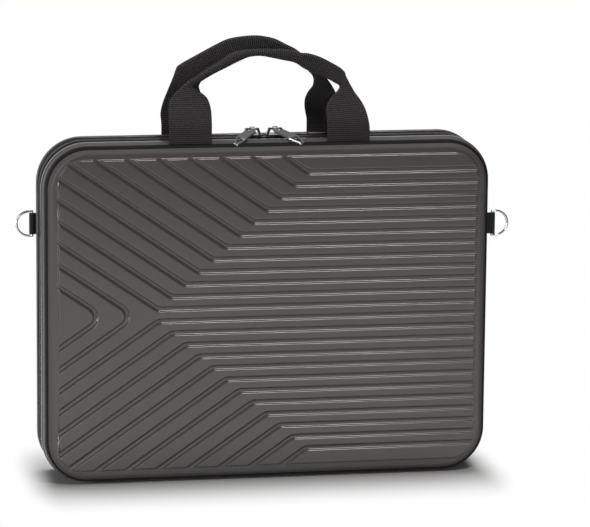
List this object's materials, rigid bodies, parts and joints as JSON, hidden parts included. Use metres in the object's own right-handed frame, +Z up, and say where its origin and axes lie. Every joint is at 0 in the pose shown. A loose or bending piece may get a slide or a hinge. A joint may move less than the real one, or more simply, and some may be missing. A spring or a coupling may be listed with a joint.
{
  "type": "laptop hard case",
  "caption": "Upright hard-shell laptop case with grooved faces, a zipper round three sides, paired webbing handles and a D-ring at each end.",
  "frame": {"origin": "on the ground under the middle of the upright case", "axes": "+X along the width, to the right seen from the front face; +Y from the front face to the back face; +Z up towards the handles"},
  "size_m": [0.4352, 0.07, 0.3932],
  "materials": {
    "shell_plastic": "satin, gunmetal grey",
    "rim_plastic": "satin, gunmetal grey",
    "piping_rubber": "matt black",
    "tape_fabric": "woven black tape",
    "teeth_plastic": "moulded black teeth",
    "slider_metal": "dark enamelled metal",
    "ring_chrome": "polished wire",
    "webbing": "ribbed black webbing",
    "lining_foam": "foam with a knitted face",
    "patch_fabric": "hook-and-loop pile",
    "pocket_fabric": "woven nylon"
  },
  "bodies": {
    "rear_half": {"rear_shell": "shell_plastic", "rear_rim": "rim_plastic", "rear_piping": "piping_rubber", "rear_lining": "lining_foam", "rear_zipper_tape": "tape_fabric", "rear_zipper_teeth": "teeth_plastic", "rear_zipper_stop_left": "slider_metal", "rear_zipper_stop_right": "slider_metal", "rear_handle_root_left": "webbing", "rear_handle_root_right": "webbing", "hinge_gusset": "tape_fabric", "ring_tab_left": "webbing", "laptop_cushion": "lining_foam", "corner_pad_lower_left": "lining_foam", "corner_pad_lower_right": "lining_foam", "corner_pad_upper_left": "lining_foam", "corner_pad_upper_right": "lining_foam", "laptop_strap_lower": "webbing", "laptop_strap_upper": "webbing", "strap_patch_lower": "patch_fabric", "strap_patch_upper": "patch_fabric"},
    "front_half": {"front_shell": "shell_plastic", "front_rim": "rim_plastic", "front_piping": "piping_rubber", "front_lining": "lining_foam", "front_zipper_tape": "tape_fabric", "front_zipper_teeth": "teeth_plastic", "front_zipper_stop_left": "slider_metal", "front_zipper_stop_right": "slider_metal", "front_handle_root_left": "webbing", "front_handle_root_right": "webbing", "ring_tab_right": "webbing", "lid_pocket": "pocket_fabric", "pocket_elastic": "pocket_fabric"},
    "front_handle": {"handle_front": "webbing"},
    "rear_handle": {"handle_rear": "webbing"},
    "left_slider": {"slider_left": "slider_metal"},
    "right_slider": {"slider_right": "slider_metal"},
    "left_pull": {"pull_left": "slider_metal"},
    "right_pull": {"pull_right": "slider_metal"},
    "left_ring": {"ring_left": "ring_chrome"},
    "right_ring": {"ring_right": "ring_chrome"}
  },
  "joints": [
    {"name": "lid_hinge", "type": "hinge", "parent": "rear_half", "child": "front_half", "pos_m": [0, 0, -0.00015], "axis": [1, 0, 0], "range_deg": [0, 180], "deforming": ["hinge_gusset"]},
    {"name": "front_handle_swing", "type": "hinge", "parent": "front_half", "child": "front_handle", "pos_m": [0, -0.02535, 0.3003], "axis": [1, 0, 0], "range_deg": [0, 120], "deforming": ["front_handle_root_left", "front_handle_root_right"]},
    {"name": "rear_handle_swing", "type": "hinge", "parent": "rear_half", "child": "rear_handle", "pos_m": [0, 0.02535, 0.3003], "axis": [-1, 0, 0], "range_deg": [0, 120], "deforming": ["rear_handle_root_left", "rear_handle_root_right"]},
    {"name": "left_slider_slide", "type": "slide", "parent": "front_half", "child": "left_slider", "axis": [-1, 0, 0], "range_m": [0, 0.1375]},
    {"name": "right_slider_slide", "type": "slide", "parent": "front_half", "child": "right_slider", "axis": [1, 0, 0], "range_m": [0, 0.1375]},
    {"name": "left_pull_swing", "type": "hinge", "parent": "left_slider", "child": "left_pull", "pos_m": [-0.0103, 0, 0.3103], "axis": [-1, 0, 0], "range_deg": [0, 149]},
    {"name": "right_pull_swing", "type": "hinge", "parent": "right_slider", "child": "right_pull", "pos_m": [0.0103, 0, 0.3103], "axis": [-1, 0, 0], "range_deg": [0, 149]},
    {"name": "left_ring_swing", "type": "hinge", "parent": "rear_half", "child": "left_ring", "pos_m": [-0.2026, 0.02535, 0.2255], "axis": [0, 0, 1], "range_deg": [-90, 90]},
    {"name": "right_ring_swing", "type": "hinge", "parent": "front_half", "child": "right_ring", "pos_m": [0.2026, -0.02535, 0.2255], "axis": [0, 0, 1], "range_deg": [-90, 90]}
  ]
}
